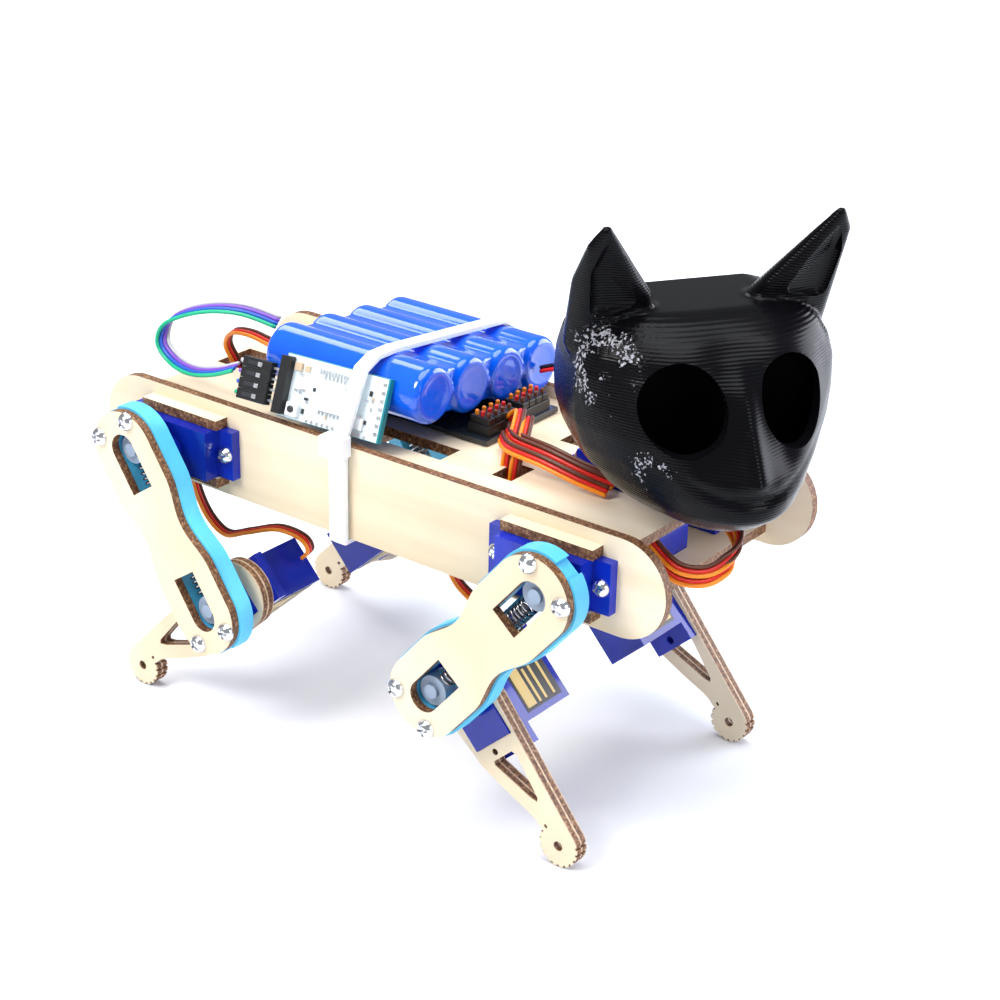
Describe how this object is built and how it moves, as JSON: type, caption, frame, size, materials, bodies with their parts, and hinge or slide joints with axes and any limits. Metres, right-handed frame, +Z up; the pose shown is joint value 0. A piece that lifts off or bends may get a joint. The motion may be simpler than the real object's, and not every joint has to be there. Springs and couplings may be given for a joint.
{
  "type": "quadruped robot",
  "caption": "Four-legged walking robot with a plywood body, spring-slotted thighs, toothed feet, hobby servos and a turning black cat head.",
  "frame": {"origin": "middle of the ground rectangle under the whole robot, soles at z = 0", "axes": "+X forwards to the head, +Y to the robot's left, +Z up"},
  "size_m": [0.185, 0.0992, 0.1487],
  "materials": {
    "plywood": "laser-cut birch plywood, satin",
    "printed_core": "light blue printed plastic",
    "servo_case": "deep blue moulded nylon, glossy",
    "steel": "bright steel",
    "spring_steel": "dark coiled spring wire",
    "horn": "pale blue-grey nylon",
    "head_black": "glossy black printed plastic with fine layer lines",
    "black_plastic": "black moulded plastic",
    "board": "black solder-masked circuit board",
    "board_teal": "teal-edged circuit board with white print",
    "sleeve": "glossy blue shrink film",
    "nylon": "translucent white nylon",
    "ribbon": "orange, red and brown servo ribbon",
    "jumper_green": "green and blue jumper wires",
    "lead_red": "red and black silicone wire"
  },
  "bodies": {
    "body": {"side_panels": "plywood", "upper_deck": "plywood", "lower_deck": "plywood", "body_servos": "servo_case", "body_servo_drives": "steel", "servo_screws": "steel", "controller_board": "board", "radio_board": "board_teal", "jumper_housings": "black_plastic", "battery_pack": "sleeve", "cable_tie": "nylon", "knee_lead_fr": "ribbon", "knee_lead_fl": "ribbon", "knee_lead_rr": "ribbon", "knee_lead_rl": "ribbon", "jumper_lead": "jumper_green", "rear_lead": "ribbon", "deck_lead": "ribbon", "head_lead": "ribbon", "front_lead": "ribbon", "battery_lead": "lead_red"},
    "neck": {"neck_bracket": "black_plastic", "tilt_servo": "servo_case"},
    "head": {"head_shell": "head_black"},
    "hip_horn_fr": {"hip_horn_fr": "horn"},
    "thigh_fr": {"thigh_plate_fr": "plywood", "thigh_core_fr": "printed_core", "thigh_springs_fr": "spring_steel", "thigh_screws_fr": "steel"},
    "knee_horn_fr": {"knee_horn_fr": "horn"},
    "shank_fr": {"knee_servo_fr": "servo_case", "knee_drive_fr": "steel", "shank_fr": "plywood"},
    "hip_horn_fl": {"hip_horn_fl": "horn"},
    "thigh_fl": {"thigh_plate_fl": "plywood", "thigh_core_fl": "printed_core", "thigh_springs_fl": "spring_steel", "thigh_screws_fl": "steel"},
    "knee_horn_fl": {"knee_horn_fl": "horn"},
    "shank_fl": {"knee_servo_fl": "servo_case", "knee_drive_fl": "steel", "shank_fl": "plywood"},
    "hip_horn_rr": {"hip_horn_rr": "horn"},
    "thigh_rr": {"thigh_plate_rr": "plywood", "thigh_core_rr": "printed_core", "thigh_springs_rr": "spring_steel", "thigh_screws_rr": "steel"},
    "knee_horn_rr": {"knee_horn_rr": "horn"},
    "shank_rr": {"knee_servo_rr": "servo_case", "knee_drive_rr": "steel", "shank_rr": "plywood"},
    "hip_horn_rl": {"hip_horn_rl": "horn"},
    "thigh_rl": {"thigh_plate_rl": "plywood", "thigh_core_rl": "printed_core", "thigh_springs_rl": "spring_steel", "thigh_screws_rl": "steel"},
    "knee_horn_rl": {"knee_horn_rl": "horn"},
    "shank_rl": {"knee_servo_rl": "servo_case", "knee_drive_rl": "steel", "shank_rl": "plywood"}
  },
  "joints": [
    {"name": "hip_swing_fr", "type": "hinge", "parent": "body", "child": "hip_horn_fr", "pos_m": [0.0505, -0.045, 0.07], "axis": [0, -1, 0], "range_deg": [-5, 80]},
    {"name": "hip_slide_fr", "type": "slide", "parent": "hip_horn_fr", "child": "thigh_fr", "axis": [0.6455, 0, 0.7638], "range_m": [0, 0.003], "stiffness_N_per_m": 600, "springref_m": -0.004, "deforming": ["thigh_springs_fr"]},
    {"name": "knee_slide_fr", "type": "slide", "parent": "thigh_fr", "child": "knee_horn_fr", "axis": [0.6455, 0, 0.7638], "range_m": [0, 0.003], "stiffness_N_per_m": 600, "springref_m": -0.004, "deforming": ["thigh_springs_fr"]},
    {"name": "knee_swing_fr", "type": "hinge", "parent": "knee_horn_fr", "child": "shank_fr", "pos_m": [0.02307, -0.045, 0.03754], "axis": [0, -1, 0], "range_deg": [-60, 40], "deforming": ["knee_lead_fr"]},
    {"name": "hip_swing_fl", "type": "hinge", "parent": "body", "child": "hip_horn_fl", "pos_m": [0.0505, 0.045, 0.07], "axis": [0, -1, 0], "range_deg": [-5, 80]},
    {"name": "hip_slide_fl", "type": "slide", "parent": "hip_horn_fl", "child": "thigh_fl", "axis": [0.6455, 0, 0.7638], "range_m": [0, 0.003], "stiffness_N_per_m": 600, "springref_m": -0.004, "deforming": ["thigh_springs_fl"]},
    {"name": "knee_slide_fl", "type": "slide", "parent": "thigh_fl", "child": "knee_horn_fl", "axis": [0.6455, 0, 0.7638], "range_m": [0, 0.003], "stiffness_N_per_m": 600, "springref_m": -0.004, "deforming": ["thigh_springs_fl"]},
    {"name": "knee_swing_fl", "type": "hinge", "parent": "knee_horn_fl", "child": "shank_fl", "pos_m": [0.02307, 0.045, 0.03754], "axis": [0, -1, 0], "range_deg": [-60, 40], "deforming": ["knee_lead_fl"]},
    {"name": "hip_swing_rr", "type": "hinge", "parent": "body", "child": "hip_horn_rr", "pos_m": [-0.0695, -0.045, 0.07], "axis": [0, -1, 0], "range_deg": [-80, 11]},
    {"name": "hip_slide_rr", "type": "slide", "parent": "hip_horn_rr", "child": "thigh_rr", "axis": [-0.5592, 0, 0.829], "range_m": [0, 0.003], "stiffness_N_per_m": 600, "springref_m": -0.004, "deforming": ["thigh_springs_rr"]},
    {"name": "knee_slide_rr", "type": "slide", "parent": "thigh_rr", "child": "knee_horn_rr", "axis": [-0.5592, 0, 0.829], "range_m": [0, 0.003], "stiffness_N_per_m": 600, "springref_m": -0.004, "deforming": ["thigh_springs_rr"]},
    {"name": "knee_swing_rr", "type": "hinge", "parent": "knee_horn_rr", "child": "shank_rr", "pos_m": [-0.04573, -0.045, 0.03477], "axis": [0, -1, 0], "range_deg": [-50, 60], "deforming": ["knee_lead_rr"]},
    {"name": "hip_swing_rl", "type": "hinge", "parent": "body", "child": "hip_horn_rl", "pos_m": [-0.0695, 0.045, 0.07], "axis": [0, -1, 0], "range_deg": [-80, 11]},
    {"name": "hip_slide_rl", "type": "slide", "parent": "hip_horn_rl", "child": "thigh_rl", "axis": [-0.5592, 0, 0.829], "range_m": [0, 0.003], "stiffness_N_per_m": 600, "springref_m": -0.004, "deforming": ["thigh_springs_rl"]},
    {"name": "knee_slide_rl", "type": "slide", "parent": "thigh_rl", "child": "knee_horn_rl", "axis": [-0.5592, 0, 0.829], "range_m": [0, 0.003], "stiffness_N_per_m": 600, "springref_m": -0.004, "deforming": ["thigh_springs_rl"]},
    {"name": "knee_swing_rl", "type": "hinge", "parent": "knee_horn_rl", "child": "shank_rl", "pos_m": [-0.04573, 0.045, 0.03477], "axis": [0, -1, 0], "range_deg": [-50, 60], "deforming": ["knee_lead_rl"]},
    {"name": "head_pan", "type": "hinge", "parent": "body", "child": "neck", "pos_m": [0.0489, 0, 0.09], "axis": [0, 0, 1], "range_deg": [-16, 84]},
    {"name": "head_tilt", "type": "hinge", "parent": "neck", "child": "head", "pos_m": [0.05885, -0.00671, 0.1], "axis": [0.5592, 0.829, 0], "range_deg": [-15, 5]}
  ]
}
